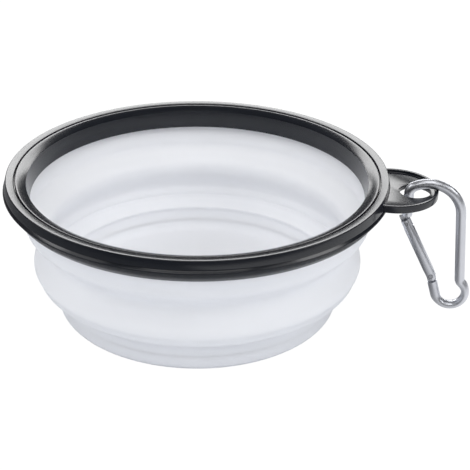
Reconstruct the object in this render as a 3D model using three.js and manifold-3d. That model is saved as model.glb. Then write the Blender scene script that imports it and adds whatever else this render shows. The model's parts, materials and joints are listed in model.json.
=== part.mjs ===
// Collapsible dog bowl: a folding silicone bowl clamped in a two-piece rim,
// with a carabiner hung on the rim's tab.
// Millimetres, +Z up. The origin is on the bowl's axis, on its underside. The tab points along +X.
import * as THREE from 'three';
import { mergeVertices } from 'three/addons/utils/BufferGeometryUtils.js';
import Module from 'manifold-3d';

const wasm = await Module();
wasm.setup();

// Fits
const clampGap = 0.2;        // between the rim's rings and the silicone they grip
const seamGap = 0.4;         // between the rim's two rings, at the top
const foldGap = 0.1;         // between two stretches of the silicone at a fold
const tongueGap = 0.3;       // on each side of a tongue in its fork
const pinGap = 0.2;          // round a rivet or pin in its hole
const hangGap = 0.4;         // between the carabiner's crown and the lip it hangs on

// Silicone bowl: heights stack up from the underside, insets are from the mouth's radius
const mouthRadius = 57.4;
const siliconeWall = 1.6;
const floorThickness = 2.3;
const baseCornerRadius = 2.4;
const floorFillet = 4.2;
const baseTaper = 1.4;          // how far the base band leans in towards its foot
const baseBandHeight = 10.0;
const middleBandHeight = 16.6;
const upperBandHeight = 14.7;
const lowerCreaseInset = 6.5;
const upperCreaseInset = 3.4;
const middleCrestProud = 0.1;   // the middle band's widest place, past the mouth
const middleCrestTop = 7.5;     // its upper and lower edges, above the lower crease
const middleCrestFoot = 4.3;
const middleCrestTaper = 1.2;
const upperCrestProud = 2.5;    // the upper band's shoulder, past the mouth
const upperCrestFoot = 8.1;     // above the upper crease
const beadDepth = 2.2;
const beadProud = 0.5;

// Rim
const rimDepth = 8.2;
const innerSkirtWall = 2.3;
const outerSkirtWall = 1.5;
const innerRingRise = 0.4;      // the inner skirt ends this far above the outer one
const flangeReach = 0.1;        // how far the clamp ring's flange reaches past the bead
const flangeThickness = 2.0;    // measured upright
const flangeFall = 1.9;         // how far the flange's top falls towards the mouth
const mouthFlare = 1.05;        // the mouth is wider at the flange than at the skirt's end
const crestDrop = 0.1;          // of the clamp ring's crest below the outer ring's top
const crestWidth = 1.9;         // from the seam to where the flange bends down
const topWidth = 2.7;           // of the outer ring's flat top
const topChamfer = 0.3;
const capDepth = 2.7;           // of the outer ring's cap, which overhangs its skirt
const capFlare = 1.2;           // how far the cap's wall leans out
const grooveInset = 1.2;        // of the groove under the cap, from the cap's widest place
const grooveHeight = 0.45;
const shoulderInset = 0.3;      // of the skirt's shoulder under that groove
const shoulderFall = 0.85;

// Tab
const tabRadius = 15.3;
const tabCentreOut = 0.15;      // of the tab's centre past the rim's widest place
const tabDrop = 0.95;
const tabThickness = 2.6;
const tabLipWidth = 1.2;
const tabRecess = 1.0;
const tabHoleRadius = 5.1;
const tabHoleOffset = 7.5;      // of the hole's centre from the tab's centre

// Carabiner
const wireDiameter = 3.4;
const loopSectionThickness = 2.75;
const loopSectionWidth = 3.9;
const legOffset = 1.95;         // of the wire from the hole's centre
const legBendRadius = 3.4;
const crownRadius = 11.0;
const crownOffset = 5.0;        // of the crown's centre from the hole's centre
const crownSlope = 24;          // degrees, of the straight between the leg and the crown
const spineLean = 4.5;          // degrees
const spineLength = 25.1;
const waistRadius = 2.4;
const waistTurn = 42;           // degrees
const loopRadius = 5.2;
const loopEase = 0.25;          // share of the loop over which its section turns round again
const gateDiameter = 3.6;
const tongueThickness = 1.2;
const tongueRadius = 1.5;
const kneeLean = 16;            // degrees, of the straight between the loop and its shoulder
const kneeLength = 5.3;
const tongueReach = 2.6;        // from the shoulder to the rivet
const rivetDiameter = 1.4;
const latchPinDiameter = 0.9;
const noseDrop = 10.1;          // from the tab's underside middle to the latch pin
const noseBack = 0.75;          // of metal behind the latch pin
const noseHook = 0.9;           // of metal under the latch pin
const noseNeck = 2.6;           // from the wire's end to the latch pin
const plateSunk = 0.8;          // of the tongue and the nose into the wire
const forkReach = 1.2;          // of the gate past the latch pin
const boreDiameter = 2.0;
const boreDepth = 9.8;
const plungerDiameter = 1.5;
const plungerLength = 2.6;
const plungerDome = 0.4;
const springDiameter = 1.7;
const springWire = 0.3;
const springCurls = 8;

// Facets
const turnSides = 48;
const wireSides = 12;
const bendStep = 13;            // degrees
const curlSteps = 8;
const curlSides = 5;

const radians = THREE.MathUtils.degToRad;

// Geometry as a solid that can be joined and cut
function solid(geometry) {
  const bare = geometry.clone();
  bare.deleteAttribute('normal');
  bare.deleteAttribute('uv');
  const merged = mergeVertices(bare, 1e-5);
  return new wasm.Manifold(new wasm.Mesh({
    numProp: 3,
    vertProperties: Float32Array.from(merged.attributes.position.array),
    triVerts: Uint32Array.from(merged.index.array),
  }));
}

function geometryOf(body) {
  const mesh = body.getMesh();
  const geometry = new THREE.BufferGeometry();
  geometry.setAttribute('position', new THREE.BufferAttribute(Float32Array.from(mesh.vertProperties), 3));
  geometry.setIndex(new THREE.BufferAttribute(Uint32Array.from(mesh.triVerts), 1));
  geometry.computeVertexNormals();
  return geometry;
}

// A profile of [radius, height] points turned about the Z axis, closed on itself or on the axis
function turned(profile) {
  const points = profile.map(([r, z]) => new THREE.Vector2(r, z));
  if (profile[0][0] > 0) points.push(points[0].clone());
  const area = THREE.ShapeUtils.area(points);
  if (area < 0) points.reverse();
  const geometry = new THREE.LatheGeometry(points, turnSides);
  geometry.rotateX(Math.PI / 2);
  return solid(geometry);
}

// An outline in the XZ plane, given a thickness along Y with the plane through its middle
function plate(shape, thickness) {
  const settings = { depth: thickness, bevelEnabled: false, curveSegments: 8 };
  const geometry = new THREE.ExtrudeGeometry(shape, settings);
  geometry.translate(0, 0, -thickness / 2);
  geometry.rotateX(Math.PI / 2);
  return solid(geometry);
}

// An outline in the XY plane, from one height to another
function slab(shape, bottom, top, curveSegments = 24) {
  const settings = { depth: top - bottom, bevelEnabled: false, curveSegments };
  const geometry = new THREE.ExtrudeGeometry(shape, settings);
  geometry.translate(0, 0, bottom);
  return solid(geometry);
}

function disc(x, radius) {
  const shape = new THREE.Shape();
  shape.absarc(x, 0, radius, 0, 2 * Math.PI);
  return shape;
}

// A round bar along Z
function bar(radius, bottom, top, sides = 16) {
  const geometry = new THREE.CylinderGeometry(radius, radius, top - bottom, sides);
  geometry.rotateX(Math.PI / 2);
  geometry.translate(0, 0, (top + bottom) / 2);
  return solid(geometry);
}

// A round bar along Y through (x, z)
function crossBar(radius, length, x, z, sides = 12) {
  const geometry = new THREE.CylinderGeometry(radius, radius, length, sides);
  geometry.translate(x, 0, z);
  return solid(geometry);
}

function block(x0, x1, y0, y1, z0, z1) {
  const geometry = new THREE.BoxGeometry(x1 - x0, y1 - y0, z1 - z0);
  geometry.translate((x0 + x1) / 2, (y0 + y1) / 2, (z0 + z1) / 2);
  return solid(geometry);
}

// Points of an arc from one angle to another, in degrees
function arc(r, z, radius, from, to, steps) {
  return Array.from({ length: steps + 1 }, (_, i) => {
    const angle = radians(from + (to - from) * i / steps);
    return [r + radius * Math.cos(angle), z + radius * Math.sin(angle)];
  });
}

// Heights of the bowl's folds
const lowerCrease = baseBandHeight;
const upperCrease = lowerCrease + middleBandHeight;
const rimFoot = upperCrease + upperBandHeight;
const rimTop = rimFoot + rimDepth;
const middleFold = lowerCrease + (middleCrestTop + middleCrestFoot) / 2;
const upperFold = upperCrease + upperCrestFoot;

// Radii in the rim's clamp, from the mouth outwards
const innerSkirtRadius = mouthRadius + innerSkirtWall;
const neckInner = innerSkirtRadius + clampGap;
const neckOuter = neckInner + siliconeWall;
const skirtInner = neckOuter + clampGap;
const skirtOuter = skirtInner + outerSkirtWall;
const beadRadius = neckOuter + beadProud;
const channelRadius = beadRadius + clampGap;
const seamRadius = beadRadius + flangeReach;
const rimRadius = seamRadius + seamGap + topWidth + capFlare;

// Outer face of the silicone, as [radius, height] stations joined by smooth half waves
const baseRadius = mouthRadius - lowerCreaseInset;
const wallStations = [
  [baseRadius - baseTaper / 2, baseBandHeight / 2],
  [baseRadius, lowerCrease],
  [mouthRadius + middleCrestProud - middleCrestTaper, lowerCrease + middleCrestFoot],
  [mouthRadius + middleCrestProud, lowerCrease + middleCrestTop],
  [mouthRadius - upperCreaseInset, upperCrease],
  [mouthRadius + upperCrestProud, upperFold],
  [neckOuter, rimFoot],
];

function wallRadius(z) {
  const above = wallStations.findIndex((station) => station[1] >= z);
  const next = above < 0 ? wallStations.length - 1 : Math.max(above, 1);
  const [[r0, z0], [r1, z1]] = [wallStations[next - 1], wallStations[next]];
  const along = THREE.MathUtils.clamp((z - z0) / (z1 - z0), 0, 1);
  return r0 + (r1 - r0) * (1 - Math.cos(Math.PI * along)) / 2;
}

// Radial thickness that keeps the wall's true thickness where the wall slopes
function wallAcross(z) {
  const step = 0.05;
  const slope = (wallRadius(z + step) - wallRadius(z - step)) / (2 * step);
  return siliconeWall * Math.sqrt(1 + slope * slope);
}

// A stretch of the folding wall between two heights
function wallBand(bottom, top, steps) {
  const heights = Array.from({ length: steps + 1 }, (_, i) => bottom + (top - bottom) * i / steps);
  const outside = heights.map((z) => [wallRadius(z), z]);
  const inside = heights.map((z) => [wallRadius(z) - wallAcross(z), z]).reverse();
  return outside.concat(inside);
}

// Base cup: the flat floor, its rounded foot and the base band
function baseCup() {
  const footRadius = baseRadius - baseTaper;
  const top = lowerCrease - foldGap;
  const bandFoot = baseBandHeight / 2;
  const outside = [
    [0, 0],
    ...arc(footRadius - baseCornerRadius, baseCornerRadius, baseCornerRadius, -90, 0, 4),
    [wallRadius(bandFoot), bandFoot],
    [wallRadius((bandFoot + top) / 2), (bandFoot + top) / 2],
    [wallRadius(top), top],
  ];
  const floorEdge = wallRadius(bandFoot) - siliconeWall;
  const inside = [
    [wallRadius(top) - wallAcross(top), top],
    [floorEdge, floorThickness + floorFillet],
    ...arc(floorEdge - floorFillet, floorThickness + floorFillet, floorFillet, 0, -90, 5).slice(1),
    [0, floorThickness],
  ];
  return turned(outside.concat(inside));
}

// The clamp ring's flange is domed from its crest to the mouth's edge, over a plain cone
const crestTop = rimTop - crestDrop;
const edgeRadius = mouthRadius + mouthFlare;
const edgeTop = rimTop - flangeFall;

function flangeUnder(r) {
  const slope = (crestTop - edgeTop) / (seamRadius - edgeRadius);
  return edgeTop + (r - edgeRadius) * slope - flangeThickness;
}

// Upper shoulder: the stretch under the rim, its neck in the clamp and the bead that the rings grip
const beadTop = flangeUnder(beadRadius) - clampGap;
const beadFoot = beadTop - beadDepth;

function upperShoulder() {
  const wall = wallBand(upperFold + foldGap / 2, rimFoot, 4);
  const split = wall.length / 2;
  return turned([
    ...wall.slice(0, split),
    [neckOuter, beadFoot],
    [beadRadius, beadFoot],
    [beadRadius, beadTop],
    [neckInner, flangeUnder(neckInner) - clampGap],
    ...wall.slice(split),
  ]);
}

// Inner clamp ring: the flange over the bead and a skirt down inside the silicone
function innerRing() {
  const foot = rimFoot + innerRingRise;
  const dome = new THREE.QuadraticBezierCurve(
    new THREE.Vector2(seamRadius - topChamfer, crestTop),
    new THREE.Vector2(seamRadius - crestWidth, crestTop - topChamfer),
    new THREE.Vector2(edgeRadius, edgeTop),
  ).getPoints(6).map((p) => [p.x, p.y]);
  return turned([
    [seamRadius, crestTop - topChamfer],
    ...dome,
    [mouthRadius, foot],
    [innerSkirtRadius, foot],
    [innerSkirtRadius, flangeUnder(innerSkirtRadius)],
    [seamRadius, flangeUnder(seamRadius)],
  ]);
}

// Outer rim: the ring that the clamp ring sits in, and the tab with its lip and hole
const tabCentre = rimRadius + tabCentreOut;
const tabTop = rimTop - tabDrop;
const tabBottom = tabTop - tabThickness;
const tabFloor = tabTop - tabRecess;
const holeX = tabCentre + tabHoleOffset;

function outerRim() {
  const seam = seamRadius + seamGap;
  const topEdge = seam + topWidth;
  const capFoot = rimTop - capDepth;
  const grooveFoot = capFoot - grooveHeight;
  const ledge = flangeUnder(seamRadius) - clampGap;
  const ring = turned([
    [seam, rimTop - topChamfer],
    [seam + topChamfer, rimTop],
    [topEdge - topChamfer, rimTop],
    [topEdge, rimTop - topChamfer],
    [rimRadius, capFoot],
    [rimRadius - grooveInset, capFoot],
    [rimRadius - grooveInset, grooveFoot],
    [rimRadius - shoulderInset, grooveFoot - shoulderFall],
    [skirtOuter, rimFoot],
    [skirtInner, rimFoot],
    [skirtInner, beadFoot - clampGap],
    [channelRadius, beadFoot - clampGap],
    [channelRadius, ledge],
    [seam, ledge],
  ]);
  const wallMiddle = (channelRadius + rimRadius) / 2;
  const recess = slab(disc(tabCentre, tabRadius - tabLipWidth), tabFloor, rimTop + 1)
    .subtract(slab(disc(0, wallMiddle), 0, rimTop + 2, turnSides / 2));
  const tab = slab(disc(tabCentre, tabRadius), tabBottom, tabTop)
    .subtract(recess)
    .subtract(slab(disc(holeX, tabHoleRadius), tabBottom - 1, rimTop + 1))
    .subtract(slab(disc(0, wallMiddle), 0, rimTop + 2, turnSides / 2));
  return ring.add(tab);
}

// A pen that draws the carabiner's bent wire in the XZ plane, as straight stretches and bends
class WirePen {
  constructor(x, z, heading) {
    this.at = new THREE.Vector2(x, z);
    this.heading = heading;
    this.stops = [];
    this.mark();
  }

  mark(flat = 0) {
    this.stops.push({ x: this.at.x, z: this.at.y, heading: this.heading, flat });
  }

  line(length) {
    const angle = radians(this.heading);
    this.at.add(new THREE.Vector2(Math.cos(angle), Math.sin(angle)).multiplyScalar(length));
    this.mark();
    return this;
  }

  // A bend of so many degrees, to the left if positive, flattened by the share that flatAt gives
  bend(radius, turn, flatAt = () => 0) {
    const side = Math.sign(turn);
    const start = radians(this.heading - 90 * side);
    const outward = new THREE.Vector2(Math.cos(start), Math.sin(start));
    const centre = this.at.clone().addScaledVector(outward, -radius);
    const first = this.heading;
    const steps = Math.ceil(Math.abs(turn) / bendStep);
    for (let i = 1; i <= steps; i++) {
      this.heading = first + turn * i / steps;
      const angle = radians(this.heading - 90 * side);
      this.at.set(centre.x + radius * Math.cos(angle), centre.y + radius * Math.sin(angle));
      this.mark(flatAt(i / steps));
    }
    return this;
  }
}

// A loft through rings of points, with both ends closed
function loft(rings) {
  const sides = rings[0].length;
  const positions = rings.flat().flatMap((p) => [p.x, p.y, p.z]);
  const index = [];
  for (let i = 0; i + 1 < rings.length; i++) {
    for (let k = 0; k < sides; k++) {
      const [a, b] = [i * sides + k, i * sides + (k + 1) % sides];
      index.push(a, b, a + sides, b, b + sides, a + sides);
    }
  }
  const last = (rings.length - 1) * sides;
  for (let k = 1; k + 1 < sides; k++) {
    index.push(0, k + 1, k);
    index.push(last, last + k, last + k + 1);
  }
  const geometry = new THREE.BufferGeometry();
  geometry.setAttribute('position', new THREE.Float32BufferAttribute(positions, 3));
  geometry.setIndex(index);
  return geometry;
}

// The wire's section at each stop of the pen: round, and flattened along the lower loop
function wireSolid(stops) {
  return solid(loft(stops.map(({ x, z, heading, flat }) => {
    const across = THREE.MathUtils.lerp(wireDiameter, loopSectionThickness, flat) / 2;
    const wide = THREE.MathUtils.lerp(wireDiameter, loopSectionWidth, flat) / 2;
    const angle = radians(heading);
    return Array.from({ length: wireSides }, (_, k) => {
      const around = -2 * Math.PI * k / wireSides;
      const inPlane = across * Math.cos(around);
      return new THREE.Vector3(
        x - Math.sin(angle) * inPlane,
        wide * Math.sin(around),
        z + Math.cos(angle) * inPlane,
      );
    });
  })));
}

// Places of the carabiner, which hangs on the tab's lip
const wireRadius = wireDiameter / 2;
const legX = holeX - legOffset;
const crownX = holeX + crownOffset;
const crownTop = tabTop + hangGap + wireRadius;
const latchX = legX;
const latchZ = tabBottom - noseDrop;
const legTurn = 90 - crownSlope;

function carabinerPath() {
  const angle = radians(90 + crownSlope);
  const crownStart = new THREE.Vector2(
    crownX + crownRadius * Math.cos(angle),
    crownTop - crownRadius + crownRadius * Math.sin(angle),
  );
  const legEnd = latchZ + noseNeck;
  const slope = radians(crownSlope);
  const bendRun = legBendRadius * (1 - Math.sin(slope));
  const bendRise = legBendRadius * Math.cos(slope);
  const straight = (crownStart.x - legX - bendRun) / Math.cos(slope);
  const legRise = crownStart.y - straight * Math.sin(slope) - bendRise - legEnd;
  const pen = new WirePen(legX, legEnd, 90);
  pen.line(legRise).bend(legBendRadius, -legTurn).line(straight);
  pen.bend(crownRadius, -(crownSlope + 90 - spineLean)).line(spineLength);
  pen.bend(waistRadius, waistTurn, (share) => share);
  pen.bend(loopRadius, kneeLean - 270 - pen.heading, (share) => Math.min(1, (1 - share) / loopEase));
  pen.line(kneeLength);
  return { stops: pen.stops, shoulder: pen.at.clone() };
}

// The gate stands on a rivet past the wire's shoulder, and reaches to the latch pin
const wire = carabinerPath();
const upright = new THREE.Vector2(0, 1);
const kneeAxis = upright.clone().rotateAround(new THREE.Vector2(), radians(kneeLean));
const rivetAt = wire.shoulder.clone().addScaledVector(kneeAxis, tongueReach);
const latch = new THREE.Vector2(latchX, latchZ);
const gateReach = rivetAt.distanceTo(latch);
const gateAxis = latch.clone().sub(rivetAt).normalize();
const gateHeading = THREE.MathUtils.radToDeg(gateAxis.angle());
const gateLean = radians(90 - gateHeading);

// Points given across and along an axis from a place on it, as an outline
function outlineAt(origin, axis, points) {
  return new THREE.Shape(points.map(([across, along]) => new THREE.Vector2(
    origin.x + axis.x * along + axis.y * across,
    origin.y + axis.y * along - axis.x * across,
  )));
}

function carabinerBody() {
  const tongue = outlineAt(rivetAt, kneeAxis, [
    [-tongueRadius, -tongueReach - plateSunk],
    [tongueRadius, -tongueReach - plateSunk],
    ...arc(0, 0, tongueRadius, 0, 180, 8),
  ]);
  const notch = latchPinDiameter / 2 + pinGap;
  const nose = outlineAt(latch, gateAxis, [
    [-notch - noseBack, -notch - noseHook],
    [notch, -notch - noseHook],
    [notch, -notch],
    ...arc(0, 0, notch, -90, -270, 6),
    [notch, notch],
    [notch, noseNeck + plateSunk / 2],
    [-notch - noseBack, noseNeck + plateSunk / 2],
  ]);
  const hole = crossBar(rivetDiameter / 2 + pinGap, tongueThickness + 2, rivetAt.x, rivetAt.y);
  return wireSolid(wire.stops)
    .add(plate(nose, tongueThickness))
    .add(plate(tongue, tongueThickness))
    .subtract(hole);
}

// The gate and what it holds, along Z from the rivet
const forkWidth = tongueThickness + 2 * tongueGap;
const gateRadius = gateDiameter / 2;
const lowerSlot = tongueRadius + tongueGap;
const upperSlot = gateReach - latchPinDiameter / 2 - pinGap - noseHook - tongueGap;
const gateEnd = gateReach + forkReach;
const boreTop = lowerSlot + boreDepth;

function carabinerGate() {
  const outline = new THREE.Shape();
  outline.absarc(0, 0, gateRadius, Math.PI, 2 * Math.PI);
  outline.lineTo(gateRadius, gateEnd);
  outline.lineTo(-gateRadius, gateEnd);
  const half = forkWidth / 2;
  return bar(gateRadius, -gateDiameter, gateEnd + 1)
    .intersect(plate(outline, gateDiameter + 1))
    .subtract(block(-gateDiameter, gateDiameter, -half, half, -gateDiameter, lowerSlot))
    .subtract(block(-gateDiameter, gateDiameter, -half, half, upperSlot, gateEnd + 1))
    .subtract(bar(boreDiameter / 2, lowerSlot - 0.5, boreTop))
    .subtract(crossBar(rivetDiameter / 2 + pinGap / 2, gateDiameter + 1, 0, 0))
    .subtract(crossBar(latchPinDiameter / 2 + pinGap / 2, gateDiameter + 1, 0, gateReach));
}

// Return spring: one unbroken tube, whose least gap from curl to curl is measured on its rings
const plungerFoot = lowerSlot + pinGap / 2;
const plungerTop = plungerFoot + plungerLength;

function returnSpring() {
  const coilRadius = (springDiameter - springWire) / 2;
  const bottom = plungerTop + pinGap + springWire / 2;
  const top = boreTop - pinGap - springWire / 2;
  const steps = springCurls * curlSteps;
  const centres = Array.from({ length: steps + 1 }, (_, i) => {
    const angle = 2 * Math.PI * i / curlSteps;
    return new THREE.Vector3(
      coilRadius * Math.cos(angle),
      coilRadius * Math.sin(angle),
      bottom + (top - bottom) * i / steps,
    );
  });
  const rings = centres.map((centre) => Array.from({ length: curlSides }, (_, k) => {
    const around = -2 * Math.PI * k / curlSides;
    const outward = new THREE.Vector3(centre.x, centre.y, 0).normalize();
    return centre.clone()
      .addScaledVector(outward, Math.cos(around) * springWire / 2)
      .add(new THREE.Vector3(0, 0, Math.sin(around) * springWire / 2));
  }));
  let least = Infinity;
  centres.forEach((a, i) => centres.slice(i + curlSteps - 1).forEach((b) => {
    least = Math.min(least, a.distanceTo(b) - springWire);
  }));
  console.log(`return spring: least gap between curls ${least.toFixed(2)} mm`);
  return solid(loft(rings));
}

function springPlunger() {
  const r = plungerDiameter / 2;
  const points = [
    [0, plungerFoot],
    [r - plungerDome, plungerFoot],
    [r, plungerFoot + plungerDome],
    [r, plungerTop],
    [0, plungerTop],
  ].map(([x, y]) => new THREE.Vector2(x, y));
  const geometry = new THREE.LatheGeometry(points, 12);
  geometry.rotateX(Math.PI / 2);
  return solid(geometry);
}

// Finishes
function finish(color, roughness, metalness) {
  return () => new THREE.MeshStandardMaterial({ color, roughness, metalness });
}
const silicone = finish(0xe8eaee, 0.55, 0);
const blackPlastic = finish(0x1d1e21, 0.35, 0);
const aluminium = finish(0xc4c7d0, 0.25, 1);
const steel = finish(0x8c8f96, 0.35, 1);

function part(name, body, material) {
  const mesh = new THREE.Mesh(geometryOf(body), material());
  mesh.name = name;
  return mesh;
}

const bowl = new THREE.Group();
bowl.add(
  part('outer_rim', outerRim(), blackPlastic),
  part('inner_ring', innerRing(), blackPlastic),
  part('upper_shoulder', upperShoulder(), silicone),
  part('upper_skirt', turned(wallBand(upperCrease + foldGap / 2, upperFold - foldGap / 2, 5)), silicone),
  part('middle_shoulder', turned(wallBand(middleFold + foldGap / 2, upperCrease - foldGap / 2, 6)),
    silicone),
  part('middle_skirt', turned(wallBand(lowerCrease, middleFold - foldGap / 2, 6)), silicone),
  part('base_cup', baseCup(), silicone),
);

const gate = new THREE.Group();
gate.position.set(rivetAt.x, 0, rivetAt.y);
gate.rotation.y = gateLean;
gate.add(
  part('carabiner_gate', carabinerGate(), aluminium),
  part('hinge_rivet', crossBar(rivetDiameter / 2, gateDiameter, 0, 0), steel),
  part('latch_pin', crossBar(latchPinDiameter / 2, gateDiameter, 0, gateReach), steel),
  part('return_spring', returnSpring(), steel),
  part('spring_plunger', springPlunger(), steel),
);

const carabiner = new THREE.Group();
carabiner.add(part('carabiner_body', carabinerBody(), aluminium), gate);

const dogBowl = new THREE.Group();
dogBowl.add(bowl, carabiner);

export default dogBowl;
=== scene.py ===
"""A collapsible silicone dog bowl with a two-piece black rim and a carabiner, dressed for the studio."""
import json
from math import atan2, ceil, cos, degrees, hypot, pi, radians, sin, sqrt

import bpy
from mathutils import Matrix, Vector


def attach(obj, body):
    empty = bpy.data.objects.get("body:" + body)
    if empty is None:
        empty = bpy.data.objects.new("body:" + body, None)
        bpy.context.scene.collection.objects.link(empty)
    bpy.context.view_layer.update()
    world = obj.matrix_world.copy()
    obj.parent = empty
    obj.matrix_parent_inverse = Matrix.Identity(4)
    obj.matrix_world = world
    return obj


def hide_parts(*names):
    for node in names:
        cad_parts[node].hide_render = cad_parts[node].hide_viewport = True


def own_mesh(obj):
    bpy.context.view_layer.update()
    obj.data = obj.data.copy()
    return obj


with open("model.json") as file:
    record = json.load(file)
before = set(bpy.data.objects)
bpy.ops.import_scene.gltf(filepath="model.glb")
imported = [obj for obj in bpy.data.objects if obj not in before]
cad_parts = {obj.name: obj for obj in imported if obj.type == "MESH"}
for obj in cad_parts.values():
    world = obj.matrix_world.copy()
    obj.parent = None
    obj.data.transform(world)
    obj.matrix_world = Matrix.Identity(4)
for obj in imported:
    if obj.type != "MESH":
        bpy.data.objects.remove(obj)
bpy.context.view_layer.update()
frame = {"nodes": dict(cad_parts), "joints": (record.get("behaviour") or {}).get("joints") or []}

MM = 0.001

# Silicone bowl, in millimetres: heights from the underside, radii from the axis
SILICONE_WALL = 1.6
FLOOR_THICKNESS = 2.3
FLOOR_FILLET = 4.2
FOOT_CORNER = 2.4
BASE_RADIUS = 50.9
BASE_TAPER = 1.4
LOWER_CREASE = 10.0
MIDDLE_CREST = (57.5, 17.5)
MIDDLE_CREST_FOOT = (56.3, 14.3)
UPPER_CREASE = (54.0, 26.6)
UPPER_FOLD = (59.9, 34.7)
NECK_RADIUS = 61.5
BEAD_RADIUS = 62.0
BEAD_TOP = 47.1
BEAD_FOOT = 44.95
BEAD_INNER_TOP = 46.05
CUT_HEIGHT = 6.0            # on the base band, where the folding wall is parted from the cup
WALL_ROWS = 72
SLOPE_STEP = 0.05           # over which the wall's slope is measured, up and down

# Rim
RIM_FOOT = 41.3
RIM_TOP = 49.5
SEAM_OUTER = 62.5
SEAM_TOP = 49.2
SEAM_INNER = 62.1
TOP_EDGE = 65.2
CAP_RADIUS = 65.95
RIM_RADIUS = 66.4
CAP_FOOT = 46.55
GROOVE_RADIUS = 65.6
GROOVE_FOOT = 46.4
SHOULDER_RADIUS = 66.4
SHOULDER_FOOT = 45.5
SKIRT_RADIUS = 63.2
SKIRT_INNER = 61.7
CHANNEL_RADIUS = 62.2
CHANNEL_FOOT = 44.75
LEDGE = 47.2
CREST_TOP = 49.1
CREST_BEND = 60.2           # where the clamp ring's flange bends down to the mouth
MOUTH_EDGE = (58.45, 47.75)
MOUTH_RADIUS = 57.4
INNER_FOOT = 41.7
INNER_SKIRT = 59.7
FLANGE_LIFT = 0.2           # of the flange's outer edge above the height of the outer ring's ledge
EDGE_ROUND = 0.3

# Tab
TAB_CENTRE = 66.55
TAB_RADIUS = 15.3
TAB_TOP = 48.55
TAB_BOTTOM = 45.95
TAB_LIP = 1.2
TAB_RECESS = 1.0
HOLE_X = 74.05
HOLE_RADIUS = 5.25
TAB_ROUND = 0.28
UPWARD = 0.9                # of a face's normal along Z, above which the face looks up

# Carabiner
WIRE_RADIUS = 1.7
LEG_X = 72.1
LATCH_Z = 35.85
NOSE_NECK = 2.6
NOSE_BACK = 0.75
NOSE_HOOK = 0.9
LEG_BEND = 3.4
CROWN_X = 79.05
CROWN_TOP = 50.65
CROWN_RADIUS = 11.0
CROWN_SLOPE = 24.0
SPINE_LEAN = 4.5
SPINE_LENGTH = 25.1
WAIST_RADIUS = 2.4
WAIST_TURN = 42.0
LOOP_RADIUS = 5.2
LOOP_THICKNESS = 2.75
LOOP_WIDTH = 3.9
LOOP_EASE = 0.7             # radians over which the round wire turns into the flat one
KNEE_LEAN = 16.0
KNEE_LENGTH = 5.3
TONGUE_REACH = 2.6
TONGUE_RADIUS = 1.5
TONGUE_THICKNESS = 1.2
FORK_WIDTH = 1.8
GATE_RADIUS = 1.8
FORK_REACH = 1.2
LATCH_RADIUS = 0.45
PIN_GAP = 0.2
TONGUE_SUNK = 0.8           # of the tongue into the wire
NOSE_SUNK = 0.4             # of the nose into the wire
SLOT_GAP = 0.3              # between a slot's end and the plate in it
BORE_RADIUS = 1.0
BORE_FOOT = 1.5             # above the rivet, as the bore's top is
BORE_TOP = 11.6
RIVET_HOLE_RADIUS = 0.8
LATCH_PLAY = 0.1            # of the latch pin's hole, in radius
GATE_ROUND = 0.16

# Meshing: counts of sides and steps, lengths in millimetres
TURN_STEPS = 128
TAB_SIDES = 128
HOLE_SIDES = 64
RING_SIDES = 256
WIRE_SIDES = 32
GATE_SIDES = 48
PIN_SIDES = 40
BORE_SIDES = 24
BEND_STEP = 5               # degrees
MERGE_GAP = 0.005
TOOL_REACH = 4.0            # of a cutting tool past the middle or the end of what it cuts
NOTCH_TOOL_LENGTH = 3.0
NOTCH_TOOL_REACH = 2.0      # of the block that opens the notch to the front
FLAT_ANGLE = 32             # degrees: flatter edges are shaded smooth and get no bevel
METAL_FLAT_ANGLE = 40
GATE_BEVEL_ANGLE = 50

# Studio, in metres and watts
SKY = 0.55
SKY_SEEN = 0.45             # added where the camera sees the sky, which makes it white
SKY_GLOSS_CUT = 0.47        # taken off where a glossy surface mirrors the sky
PAPER = (0.86, 0.88, 0.92, 1)
PAPER_GLOW = 1.06
PAPER_SEEN = 0.93           # share of the glow in what the camera sees; the rest takes the shadow
PAPER_MIRRORED = 0.85       # the same in reflections and through clear surfaces
PAINTED_REFLECTION_START = 0.065          # painted reflection: the paper's glow in reflections grows between these two places along X, dim towards the bowl and full to its right
PAINTED_REFLECTION_END = 0.105
PAINTED_REFLECTION_DARK = 0.10
PAINTED_REFLECTION_LIGHT = 1.0
FLOOR_SIZE = 8
BOWL_MIDDLE = (0, 0, 0.03)
BOWL_RIM = (0, 0, 0.05)
LAMPS = [                   # name, place, what it faces, width, height, power
    ("top_softbox", (0.05, -0.15, 1.2), BOWL_MIDDLE, 0.7, 0.7, 2.0),
    ("back_softbox", (-0.18, 1.2, 0.72), BOWL_RIM, 0.9, 0.35, 5.4),
    ("left_strip", (-0.55, 1.1, 0.3), BOWL_RIM, 0.4, 0.25, 1.1),
    ("right_strip", (0.5, 1.1, 0.3), BOWL_RIM, 0.4, 0.25, 1.1),
    ("front_softbox", (0.1, -0.62, 1.05), BOWL_MIDDLE, 1.0, 0.4, 2.0),
    ("ledge_strip", (0.0, -0.95, 0.86), BOWL_RIM, 1.4, 0.12, 1.5),
    ("left_softbox", (-0.95, -0.5, 0.7), BOWL_MIDDLE, 0.5, 0.5, 0.8),
    ("right_softbox", (0.95, -0.5, 0.7), BOWL_MIDDLE, 0.5, 0.5, 0.8),
    ("left_side", (-1.05, -0.05, 0.72), BOWL_MIDDLE, 0.5, 0.4, 2.0),
    ("right_side", (1.05, -0.05, 0.72), BOWL_MIDDLE, 0.5, 0.4, 2.3),
]

# Camera: place in millimetres, angles in degrees
CAMERA_PLACE = (64.13, -370.06, 219.54)
CAMERA_PAN = -7.842
CAMERA_TILT = 27.452
CAMERA_ROLL = 0.954
SENSOR_WIDTH = 36
FOCAL_PIXELS = 1200
IMAGE_PIXELS = 470


# Shader maths

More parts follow.
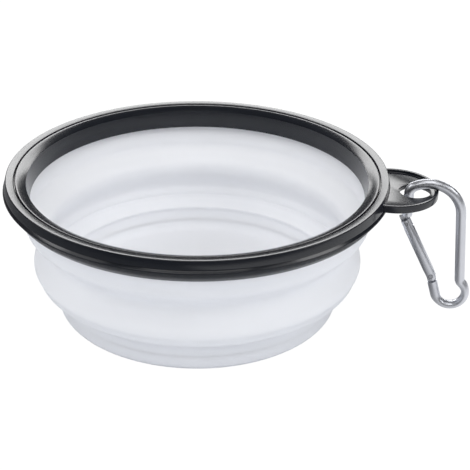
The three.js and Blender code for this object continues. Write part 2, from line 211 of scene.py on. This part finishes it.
class Number:
    """A value in a shader: expressions on it add Math nodes."""

    def __init__(self, finish, socket):
        self.finish = finish
        self.socket = socket

    def maths(self, operation, *values):
        node = self.finish.node("ShaderNodeMath", {"operation": operation}, dict(enumerate(values)))
        return Number(self.finish, node.outputs[0])

    def __add__(self, other):
        return self.maths("ADD", self, other)

    def __sub__(self, other):
        return self.maths("SUBTRACT", self, other)

    def __rsub__(self, other):
        return self.maths("SUBTRACT", other, self)

    def __mul__(self, other):
        return self.maths("MULTIPLY", self, other)

    def larger(self, other):
        return self.maths("MAXIMUM", self, other)

    __radd__ = __add__
    __rmul__ = __mul__


class Finish:
    """A node material, built node by node."""

    def __init__(self, name, tree=None):
        if tree is None:
            self.material = bpy.data.materials.new(name)
            self.material.use_nodes = True
            tree = self.material.node_tree
        self.tree = tree
        self.tree.nodes.clear()

    def node(self, kind, settings=None, inputs=None):
        """Add a node, set it up, then feed its sockets with values, Numbers or links."""
        node = self.tree.nodes.new(kind)
        for key, value in (settings or {}).items():
            setattr(node, key, value)
        for key, value in (inputs or {}).items():
            socket = node.inputs[key]
            if isinstance(value, Number):
                self.tree.links.new(value.socket, socket)
            elif isinstance(value, bpy.types.NodeSocket):
                self.tree.links.new(value, socket)
            else:
                socket.default_value = value
        return node

    def place(self):
        return self.node("ShaderNodeTexCoord").outputs["Object"]

    def noise(self, scale, detail=2.0, roughness=0.5, where=None):
        inputs = {"Vector": where or self.place(), "Scale": scale, "Detail": detail, "Roughness": roughness}
        return Number(self, self.node("ShaderNodeTexNoise", None, inputs).outputs[0])

    def mix(self, share, first, second):
        """A colour between two colours."""
        node = self.node("ShaderNodeMix", {"data_type": "RGBA"}, {0: share, 6: first, 7: second})
        return node.outputs[2]

    def bump(self, height, strength, distance):
        inputs = {"Height": height, "Strength": strength, "Distance": distance}
        return self.node("ShaderNodeBump", None, inputs).outputs[0]

    def surface(self, **inputs):
        """A Principled surface; words in the socket names are parted by underscores."""
        named = {key.replace("_", " "): value for key, value in inputs.items()}
        shader = self.node("ShaderNodeBsdfPrincipled", None, named)
        self.node("ShaderNodeOutputMaterial", None, {"Surface": shader.outputs[0]})
        return self.material


def silicone_finish():
    """Matte white silicone with a faint cool cast, soft cloudiness and a fine moulded grain."""
    f = Finish("white_silicone")
    shade = (0.825, 0.835, 0.866, 1)
    light = (0.85, 0.86, 0.886, 1)
    cloud = f.noise(scale=38, detail=3.0)
    grain = f.noise(scale=1500)
    return f.surface(
        Base_Color=f.mix(cloud, shade, light),
        Roughness=0.44 + 0.10 * cloud,
        Normal=f.bump(grain, strength=0.10, distance=0.00012),
        Subsurface_Weight=0.3,
        Subsurface_Radius=(1.0, 1.0, 1.0),
        Subsurface_Scale=0.002,
    )


def plastic_finish():
    """Glossy black moulded plastic with faint scuffs in its gloss."""
    f = Finish("black_plastic")
    shade = (0.0055, 0.007, 0.0105, 1)
    light = (0.0085, 0.0102, 0.015, 1)
    cloud = f.noise(scale=60, detail=4.0, roughness=0.6)
    grain = f.noise(scale=2600)
    return f.surface(
        Base_Color=f.mix(cloud, shade, light),
        Roughness=0.14 + 0.08 * cloud,
        Specular_IOR_Level=0.55,
        Normal=f.bump(grain, strength=0.03, distance=0.00006),
    )


def metal_finish(name, dark, light, rough):
    """Bare metal with drawn streaks in its gloss."""
    f = Finish(name)
    stretch = f.node("ShaderNodeMapping", None, {"Vector": f.place(), "Scale": (1.0, 1.0, 0.12)})
    streak = f.noise(scale=900, detail=3.0, roughness=0.6, where=stretch.outputs[0])
    cloud = f.noise(scale=140)
    return f.surface(
        Base_Color=f.mix(cloud, dark, light),
        Metallic=1.0,
        Roughness=rough + 0.08 * streak,
        Normal=f.bump(streak, strength=0.01, distance=0.00002),
    )


# Modelling helpers

def begin(name, add, **size):
    """Add a primitive by itself, and name it."""
    bpy.ops.object.select_all(action="DESELECT")
    add(**size)
    piece = bpy.context.object
    piece.name = name
    piece.data.name = name
    return piece


def edit():
    bpy.ops.object.mode_set(mode="EDIT")


def done():
    bpy.ops.object.mode_set(mode="OBJECT")


def settle(piece):
    """Put the object's place into its mesh."""
    bpy.ops.object.select_all(action="DESELECT")
    piece.select_set(True)
    bpy.context.view_layer.objects.active = piece
    bpy.ops.object.transform_apply(location=True, rotation=True, scale=True)


def apply_modifier(piece, kind, **settings):
    modifier = piece.modifiers.new(kind.lower(), kind)
    for key, value in settings.items():
        setattr(modifier, key, value)
    bpy.ops.object.select_all(action="DESELECT")
    piece.select_set(True)
    bpy.context.view_layer.objects.active = piece
    bpy.ops.object.modifier_apply(modifier=modifier.name)


def boolean(piece, tool, operation):
    """Join or cut with a tool, which is used up."""
    settle(tool)
    apply_modifier(piece, "BOOLEAN", object=tool, operation=operation, solver="EXACT")
    bpy.data.objects.remove(tool, do_unlink=True)


def soften(piece, width, segments=3, angle=FLAT_ANGLE):
    apply_modifier(
        piece, "BEVEL", width=width * MM, segments=segments, limit_method="ANGLE", angle_limit=radians(angle)
    )


def smooth(piece, angle=FLAT_ANGLE):
    bpy.ops.object.select_all(action="DESELECT")
    piece.select_set(True)
    bpy.context.view_layer.objects.active = piece
    bpy.ops.object.shade_smooth_by_angle(angle=radians(angle))


def turned(name, profile, closed=True):
    """Turn an outline of (radius, height) points about the bowl's axis."""
    piece = begin(name, bpy.ops.mesh.primitive_plane_add, size=MM)
    edit()
    bpy.ops.mesh.merge(type="CENTER")
    (r, z), *rest = profile
    bpy.ops.transform.translate(value=(r * MM, 0, z * MM))
    for r1, z1 in rest + ([profile[0]] if closed else []):
        move = {"value": ((r1 - r) * MM, 0, (z1 - z) * MM)}
        bpy.ops.mesh.extrude_region_move(TRANSFORM_OT_translate=move)
        r, z = r1, z1
    bpy.ops.mesh.select_all(action="SELECT")
    bpy.ops.mesh.spin(steps=TURN_STEPS, angle=2 * pi, center=(0, 0, 0), axis=(0, 0, 1))
    bpy.ops.mesh.select_all(action="SELECT")
    bpy.ops.mesh.remove_doubles(threshold=MERGE_GAP * MM)
    bpy.ops.mesh.normals_make_consistent(inside=False)
    done()
    smooth(piece)
    return piece


def arc(r, z, radius, start, end, steps):
    """Points of an arc, with its angles in degrees."""
    turns = [radians(start + (end - start) * i / steps) for i in range(steps + 1)]
    return [(r + radius * cos(a), z + radius * sin(a)) for a in turns]


def curve(first, handle, last, steps):
    """Points of a curve drawn towards one handle."""
    shares = [i / steps for i in range(steps + 1)]
    return [
        tuple((1 - t) ** 2 * a + 2 * t * (1 - t) * b + t * t * c for a, b, c in zip(first, handle, last))
        for t in shares
    ]


def dress(piece, material, body, slot, *nodes):
    """Give a piece its finish and its place in the frame."""
    piece.data.materials.clear()
    piece.data.materials.append(material)
    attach(piece, body)
    if nodes:
        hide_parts(*nodes)


# Silicone bowl

WALL_STATIONS = [
    (BASE_RADIUS - BASE_TAPER / 2, LOWER_CREASE / 2),
    (BASE_RADIUS, LOWER_CREASE),
    MIDDLE_CREST_FOOT,
    MIDDLE_CREST,
    UPPER_CREASE,
    UPPER_FOLD,
    (NECK_RADIUS, RIM_FOOT),
]


def wall_radius(z):
    """The silicone's outer radius: smooth half waves between the folds."""
    upper = next((i for i, s in enumerate(WALL_STATIONS) if s[1] >= z), len(WALL_STATIONS) - 1)
    (r0, z0), (r1, z1) = WALL_STATIONS[max(upper, 1) - 1], WALL_STATIONS[max(upper, 1)]
    share = min(max((z - z0) / (z1 - z0), 0), 1)
    return r0 + (r1 - r0) * (1 - cos(pi * share)) / 2


def wall_across(z):
    """The silicone's thickness measured level, which grows where the wall leans."""
    slope = (wall_radius(z + SLOPE_STEP) - wall_radius(z - SLOPE_STEP)) / (2 * SLOPE_STEP)
    return SILICONE_WALL * sqrt(1 + slope * slope)


def silicone_wall(material):
    """The folding wall, from the base band up into the rim's clamp."""
    heights = [CUT_HEIGHT + (RIM_FOOT - CUT_HEIGHT) * i / WALL_ROWS for i in range(WALL_ROWS + 1)]
    outside = [(wall_radius(z), z) for z in heights]
    inside = [(wall_radius(z) - wall_across(z), z) for z in reversed(heights)]
    bead = [
        (NECK_RADIUS, BEAD_FOOT),
        (BEAD_RADIUS, BEAD_FOOT),
        (BEAD_RADIUS, BEAD_TOP),
        (NECK_RADIUS - SILICONE_WALL, BEAD_INNER_TOP),
    ]
    piece = turned("silicone_wall", outside + bead + inside)
    nodes = ("upper_shoulder", "upper_skirt", "middle_shoulder", "middle_skirt")
    dress(piece, material, "rim", "white_silicone", *nodes)
    travel = next(j for j in frame["joints"] if j["name"] == "collapse")["range_m"][1] / MM
    height = RIM_FOOT - CUT_HEIGHT
    (height - travel) / height
    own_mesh(piece)


def silicone_base(material):
    """The floor, its rounded foot and the lower half of the base band."""
    foot = BASE_RADIUS - BASE_TAPER
    floor_edge = wall_radius(CUT_HEIGHT) - SILICONE_WALL
    outside = [(0, 0), *arc(foot - FOOT_CORNER, FOOT_CORNER, FOOT_CORNER, -90, 0, steps=8)]
    outside += [(wall_radius(CUT_HEIGHT), CUT_HEIGHT)]
    fillet = min(FLOOR_FILLET, CUT_HEIGHT - FLOOR_THICKNESS)
    inside = arc(floor_edge - fillet, FLOOR_THICKNESS + fillet, fillet, 0, -90, steps=10)
    piece = turned("silicone_base", outside + inside + [(0, FLOOR_THICKNESS)], closed=False)
    dress(piece, material, "base", "white_silicone", "base_cup")


# Rim

def rounded(corners, radius, steps=4):
    """Round the corners of an outline: each is a point with True where it is rounded."""
    outline = []
    for i, (point, soft) in enumerate(corners):
        here = Vector(point)
        if not soft:
            outline.append(tuple(here))
            continue
        before = (Vector(corners[i - 1][0]) - here).normalized()
        after = (Vector(corners[(i + 1) % len(corners)][0]) - here).normalized()
        outline += curve(here + before * radius, here, here + after * radius, steps)
    return outline


def rim_outer(material):
    """The outer ring: a flat-topped cap over a groove, a tapered skirt and the channel for the bead."""
    profile = rounded([
        ((SEAM_OUTER, SEAM_TOP), True),
        ((TOP_EDGE, RIM_TOP), True),
        ((CAP_RADIUS, CAP_FOOT), True),
        ((GROOVE_RADIUS, CAP_FOOT), False),
        ((GROOVE_RADIUS, GROOVE_FOOT), False),
        ((SHOULDER_RADIUS, SHOULDER_FOOT), True),
        ((SKIRT_RADIUS, RIM_FOOT), True),
        ((SKIRT_INNER, RIM_FOOT), False),
        ((SKIRT_INNER, CHANNEL_FOOT), False),
        ((CHANNEL_RADIUS, CHANNEL_FOOT), False),
        ((CHANNEL_RADIUS, LEDGE), False),
        ((SEAM_OUTER, LEDGE), False),
    ], EDGE_ROUND)
    piece = turned("rim_outer", profile)
    dress(piece, material, "rim", "black_plastic", "outer_rim")


def rim_inner(material):
    """The clamp ring: a flange that falls from its crest to the mouth, and a skirt inside the silicone."""
    crest = (SEAM_INNER - EDGE_ROUND, CREST_TOP)
    dome = curve(crest, (CREST_BEND, CREST_TOP - EDGE_ROUND), MOUTH_EDGE, steps=12)
    profile = rounded([
        ((SEAM_INNER, CREST_TOP), True),
        *((point, False) for point in dome[1:]),
        ((MOUTH_RADIUS, INNER_FOOT), True),
        ((INNER_SKIRT, INNER_FOOT), False),
        ((INNER_SKIRT, BEAD_INNER_TOP), False),
        ((SEAM_INNER, LEDGE + FLANGE_LIFT), False),
    ], EDGE_ROUND)
    piece = turned("rim_inner", profile)
    dress(piece, material, "rim", "black_plastic", "inner_ring")


def cylinder(name, x, radius, bottom, top, vertices):
    """An upright round bar, beside the origin by x."""
    where = (x * MM, 0, (bottom + top) / 2 * MM)
    add = bpy.ops.mesh.primitive_cylinder_add
    return begin(name, add, vertices=vertices, radius=radius * MM, depth=(top - bottom) * MM, location=where)


def select_faces(piece, chosen):
    """Select the faces that a test on their centre and normal picks, and go into edit mode."""
    for part in (piece.data.vertices, piece.data.edges, piece.data.polygons):
        part.foreach_set("select", [False] * len(part))
    for face in piece.data.polygons:
        face.select = chosen(face.center, face.normal)
    edit()
    bpy.ops.mesh.select_mode(type="FACE")


def rim_tab(material):
    """The hanging tab: a half-round plate with a raised lip, a sunk floor and a round hole."""
    piece = cylinder("rim_tab", TAB_CENTRE, TAB_RADIUS, TAB_BOTTOM, TAB_TOP, TAB_SIDES)
    settle(piece)
    select_faces(piece, lambda centre, normal: normal.z > UPWARD)
    bpy.ops.mesh.inset(thickness=TAB_LIP * MM)
    bpy.ops.mesh.extrude_region_move(TRANSFORM_OT_translate={"value": (0, 0, -TAB_RECESS * MM)})
    done()
    below, above = TAB_BOTTOM - TOOL_REACH, TAB_TOP + TOOL_REACH
    boolean(piece, cylinder("hole_tool", HOLE_X, HOLE_RADIUS, below, above, HOLE_SIDES), "DIFFERENCE")
    soften(piece, TAB_ROUND)
    ring = (CHANNEL_RADIUS + RIM_RADIUS) / 2
    boolean(piece, cylinder("ring_tool", 0, ring, below, above, RING_SIDES), "DIFFERENCE")
    smooth(piece)
    dress(piece, material, "rim", "black_plastic")


# Carabiner

class Wire:
    """A wire that is bent as on a bench: straight stretches are extruded and bends are spun."""

    def __init__(self, name, x, z, heading):
        self.at = Vector((x, 0, z))
        self.heading = heading
        self.piece = begin(
            name, bpy.ops.mesh.primitive_circle_add, vertices=WIRE_SIDES, radius=WIRE_RADIUS * MM,
            fill_type="NOTHING", location=self.at * MM, rotation=(0, radians(90 - heading), 0),
        )
        settle(self.piece)
        edit()
        bpy.ops.mesh.select_mode(type="EDGE")
        bpy.ops.mesh.select_all(action="SELECT")

    def along(self):
        return Vector((cos(radians(self.heading)), 0, sin(radians(self.heading))))

    def straight(self, length):
        move = {"value": self.along() * length * MM}
        bpy.ops.mesh.extrude_region_move(TRANSFORM_OT_translate=move)
        self.at += self.along() * length

    def centre_of(self, radius, turn):
        side = 1 if turn > 0 else -1
        return self.at + Vector((-sin(radians(self.heading)), 0, cos(radians(self.heading)))) * radius * side

    def bend(self, radius, turn):
        centre = self.centre_of(radius, turn)
        steps = ceil(abs(turn) / BEND_STEP)
        bpy.ops.mesh.spin(steps=steps, angle=radians(turn), center=centre * MM, axis=(0, 1, 0))
        self.at = centre + Matrix.Rotation(-radians(turn), 3, "Y") @ (self.at - centre)
        self.heading += turn

    def close(self):
        bpy.ops.mesh.select_all(action="SELECT")
        bpy.ops.mesh.remove_doubles(threshold=MERGE_GAP * MM)
        bpy.ops.mesh.fill_holes(sides=0)
        bpy.ops.mesh.normals_make_consistent(inside=False)
        done()
        return self.piece


def carabiner_wire():
    """The bent wire, with the middle of its lower loop and where its gate turns."""
    slope = radians(CROWN_SLOPE)
    leg_end = LATCH_Z + NOSE_NECK
    crown_start = Vector((
        CROWN_X - CROWN_RADIUS * sin(slope), 0, CROWN_TOP - CROWN_RADIUS + CROWN_RADIUS * cos(slope)
    ))
    straight = (crown_start.x - LEG_X - LEG_BEND * (1 - sin(slope))) / cos(slope)
    rise = crown_start.z - straight * sin(slope) - LEG_BEND * cos(slope) - leg_end
    wire = Wire("carabiner_wire", LEG_X, leg_end, 90)
    wire.straight(rise)
    wire.bend(LEG_BEND, CROWN_SLOPE - 90)
    wire.straight(straight)
    wire.bend(CROWN_RADIUS, SPINE_LEAN - CROWN_SLOPE - 90)
    wire.straight(SPINE_LENGTH)
    wire.bend(WAIST_RADIUS, WAIST_TURN)
    centre = wire.centre_of(LOOP_RADIUS, -1)
    wire.bend(LOOP_RADIUS, KNEE_LEAN - 270 - wire.heading)
    wire.straight(KNEE_LENGTH)
    rivet = wire.at + wire.along() * TONGUE_REACH
    return wire.close(), centre, rivet


def flatten_loop(piece, centre):
    """Press the wire of the lower loop thinner in its plane and wider across it."""
    loop_end = radians(180 + KNEE_LEAN)
    span = radians(SPINE_LEAN + WAIST_TURN) + 2 * pi - loop_end
    for vertex in piece.data.vertices:
        out = vertex.co / MM - centre
        distance = hypot(out.x, out.z)
        along = (atan2(out.z, out.x) - loop_end) % (2 * pi)
        share = min(1, along / LOOP_EASE, (span - along) / LOOP_EASE)
        if share <= 0 or distance > LOOP_RADIUS + 2 * WIRE_RADIUS:
            continue
        share = share * share * (3 - 2 * share)
        thin = 1 + (LOOP_THICKNESS / (2 * WIRE_RADIUS) - 1) * share
        wide = 1 + (LOOP_WIDTH / (2 * WIRE_RADIUS) - 1) * share
        scale = (LOOP_RADIUS + (distance - LOOP_RADIUS) * thin) / distance
        vertex.co = Vector((
            (centre.x + out.x * scale) * MM, vertex.co.y * wide, (centre.z + out.z * scale) * MM
        ))


def box_at(name, x0, x1, half, z0, z1):
    """A block that runs half its width to either side of the carabiner's plane."""
    piece = begin(name, bpy.ops.mesh.primitive_cube_add, size=MM)
    piece.scale = (x1 - x0, 2 * half, z1 - z0)
    piece.location = ((x0 + x1) / 2 * MM, 0, (z0 + z1) / 2 * MM)
    settle(piece)
    return piece


def pin_at(name, radius, length, z):
    """A round bar across the carabiner's plane, above the rivet by z."""
    return begin(
        name, bpy.ops.mesh.primitive_cylinder_add, vertices=PIN_SIDES, radius=radius * MM, depth=length * MM,
        location=(0, 0, z * MM), rotation=(pi / 2, 0, 0),
    )


def lean_over(piece, rivet, lean):
    """Move a piece that was made upright on the rivet to the gate's place."""
    piece.rotation_euler = (0, radians(lean), 0)
    piece.location = rivet * MM
    settle(piece)


def carabiner(material):
    """The wire with its hinge tongue and nose, and the gate with a fork at each end."""
    body, centre, rivet = carabiner_wire()
    flatten_loop(body, centre)
    to_pin = Vector((LEG_X, 0, LATCH_Z)) - rivet
    lean = degrees(atan2(to_pin.x, to_pin.z))
    reach = to_pin.length
    half = TONGUE_THICKNESS / 2
    across = 2 * TOOL_REACH
    tongue = box_at("tongue", -TONGUE_RADIUS, TONGUE_RADIUS, half, -TONGUE_REACH - TONGUE_SUNK, 0)
    boolean(tongue, pin_at("tongue_end", TONGUE_RADIUS, TONGUE_THICKNESS, 0), "UNION")
    notch = LATCH_RADIUS + PIN_GAP
    nose = box_at(
        "nose", -notch - NOSE_BACK, notch, half, reach - notch - NOSE_HOOK, reach + NOSE_NECK + NOSE_SUNK
    )
    boolean(nose, pin_at("notch_tool", notch, NOTCH_TOOL_LENGTH, reach), "DIFFERENCE")
    mouth_size = (0, NOTCH_TOOL_REACH, NOTCH_TOOL_REACH, reach - notch, reach + notch)
    mouth = box_at("notch_mouth", *mouth_size)
    boolean(nose, mouth, "DIFFERENCE")
    for plate, turn in ((tongue, -KNEE_LEAN), (nose, lean)):
        lean_over(plate, rivet, turn)
        boolean(body, plate, "UNION")
    smooth(body, METAL_FLAT_ANGLE)
    dress(body, material, "carabiner", "aluminium", "carabiner_body")

    gate = cylinder("carabiner_bar", 0, GATE_RADIUS, -GATE_RADIUS, reach + FORK_REACH, GATE_SIDES)
    settle(gate)
    past_top = reach + FORK_REACH + TOOL_REACH
    ears = pin_at("ear_tool", GATE_RADIUS, across, 0)
    boolean(ears, box_at("shank", -TOOL_REACH, TOOL_REACH, TOOL_REACH, 0, past_top), "UNION")
    boolean(gate, ears, "INTERSECT")
    fork = FORK_WIDTH / 2
    slot_head = TONGUE_RADIUS + SLOT_GAP
    boolean(gate, box_at("lower_slot", -TOOL_REACH, TOOL_REACH, fork, -TOOL_REACH, slot_head), "DIFFERENCE")
    slot_foot = reach - notch - NOSE_HOOK - SLOT_GAP
    boolean(gate, box_at("upper_slot", -TOOL_REACH, TOOL_REACH, fork, slot_foot, past_top), "DIFFERENCE")
    boolean(gate, cylinder("bore", 0, BORE_RADIUS, BORE_FOOT, BORE_TOP, BORE_SIDES), "DIFFERENCE")
    boolean(gate, pin_at("rivet_hole", RIVET_HOLE_RADIUS, across, 0), "DIFFERENCE")
    boolean(gate, pin_at("latch_hole", LATCH_RADIUS + LATCH_PLAY, across, reach), "DIFFERENCE")
    soften(gate, GATE_ROUND, segments=2, angle=GATE_BEVEL_ANGLE)
    lean_over(gate, rivet, lean)
    smooth(gate, METAL_FLAT_ANGLE)
    dress(gate, material, "gate", "aluminium", "carabiner_gate")


def cad_metal(material):
    """The small steel pieces keep their solids."""
    for name in ("hinge_rivet", "latch_pin", "return_spring", "spring_plunger"):
        solid = frame["nodes"][name]
        solid.data.materials.clear()
        solid.data.materials.append(material)


# Studio

def floor_finish():
    """White paper: the camera sees it white; reflections show it with a painted reflection, dark, but bright
    to the bowl's right.
    """
    f = Finish("floor_paper")
    path = f.node("ShaderNodeLightPath")
    camera_ray, glossy_ray, clear_ray = (
        Number(f, path.outputs[f"Is {kind} Ray"]) for kind in ("Camera", "Glossy", "Transmission")
    )
    across = f.node("ShaderNodeSeparateXYZ", None, {0: f.place()}).outputs[0]
    limits = {
        "Value": across,
        "From Min": PAINTED_REFLECTION_START,
        "From Max": PAINTED_REFLECTION_END,
        "To Min": PAINTED_REFLECTION_DARK,
        "To Max": PAINTED_REFLECTION_LIGHT,
    }
    # painted reflection: the glow that reflections see, dim near the bowl and full to its right
    painted_reflection = f.node("ShaderNodeMapRange", {"interpolation_type": "SMOOTHSTEP"}, limits).outputs[0]
    strength = (camera_ray + clear_ray) * PAPER_GLOW + glossy_ray * Number(f, painted_reflection)
    mirrored = (glossy_ray * PAPER_MIRRORED).larger(clear_ray * PAPER_MIRRORED)
    seen = (camera_ray * PAPER_SEEN).larger(mirrored)
    paper = f.node("ShaderNodeBsdfDiffuse", None, {"Color": PAPER})
    glow = f.node("ShaderNodeEmission", None, {"Color": (1, 1, 1, 1), "Strength": strength})
    mixed = f.node("ShaderNodeMixShader", None, {0: seen, 1: paper.outputs[0], 2: glow.outputs[0]})
    f.node("ShaderNodeOutputMaterial", None, {"Surface": mixed.outputs[0]})
    return f.material


def studio():
    """The floor, a sky that reflections show dimmer than the camera does, and the lamps."""
    floor = begin("studio_floor", bpy.ops.mesh.primitive_plane_add, size=FLOOR_SIZE)
    floor.data.materials.append(floor_finish())
    world = bpy.data.worlds.new("studio")
    bpy.context.scene.world = world
    world.use_nodes = True
    f = Finish("studio", world.node_tree)
    path = f.node("ShaderNodeLightPath")
    camera_ray, glossy_ray = (Number(f, path.outputs[f"Is {kind} Ray"]) for kind in ("Camera", "Glossy"))
    glow = SKY + SKY_SEEN * camera_ray - SKY_GLOSS_CUT * glossy_ray
    sky = f.node("ShaderNodeBackground", None, {"Color": (1, 1, 1, 1), "Strength": glow})
    f.node("ShaderNodeOutputWorld", None, {"Surface": sky.outputs[0]})
    for row in LAMPS:
        lamp(*row)


def lamp(name, place, target, width, height, power):
    """A flat lamp that faces a point."""
    data = bpy.data.lights.new(name, "AREA")
    data.shape = "RECTANGLE"
    data.size = width
    data.size_y = height
    data.energy = power
    light = bpy.data.objects.new(name, data)
    bpy.context.collection.objects.link(light)
    look = Vector(target) - Vector(place)
    light.matrix_world = Matrix.Translation(place) @ look.to_track_quat("-Z", "Y").to_matrix().to_4x4()


def camera():
    """The photograph's view: from the front and above, to the right of the bowl's axis."""
    place = Vector(CAMERA_PLACE) * MM
    pan, tilt, roll = radians(CAMERA_PAN), radians(CAMERA_TILT), radians(CAMERA_ROLL)
    right = Vector((cos(pan), -sin(pan), 0))
    ahead = Vector((sin(pan) * cos(tilt), cos(pan) * cos(tilt), -sin(tilt)))
    up = right.cross(ahead)
    across = right * cos(roll) + up * sin(roll)
    upright = up * cos(roll) - right * sin(roll)
    data = bpy.data.cameras.new("camera")
    data.sensor_width = SENSOR_WIDTH
    data.sensor_fit = "HORIZONTAL"
    data.lens = SENSOR_WIDTH * FOCAL_PIXELS / IMAGE_PIXELS
    view = bpy.data.objects.new("camera", data)
    bpy.context.collection.objects.link(view)
    turn = Matrix((across, upright, -ahead)).transposed().to_4x4()
    view.matrix_world = Matrix.Translation(place) @ turn
    bpy.context.scene.camera = view


camera()
studio()
white_silicone = silicone_finish()
black_plastic = plastic_finish()
aluminium = metal_finish("aluminium", dark=(0.62, 0.635, 0.68, 1), light=(0.70, 0.71, 0.75, 1), rough=0.32)
steel = metal_finish("steel", dark=(0.42, 0.43, 0.46, 1), light=(0.52, 0.53, 0.56, 1), rough=0.25)
silicone_wall(white_silicone)
silicone_base(white_silicone)
rim_outer(black_plastic)
rim_inner(black_plastic)
rim_tab(black_plastic)
carabiner(aluminium)
cad_metal(steel)

bpy.context.scene.view_settings.view_transform = "Standard"
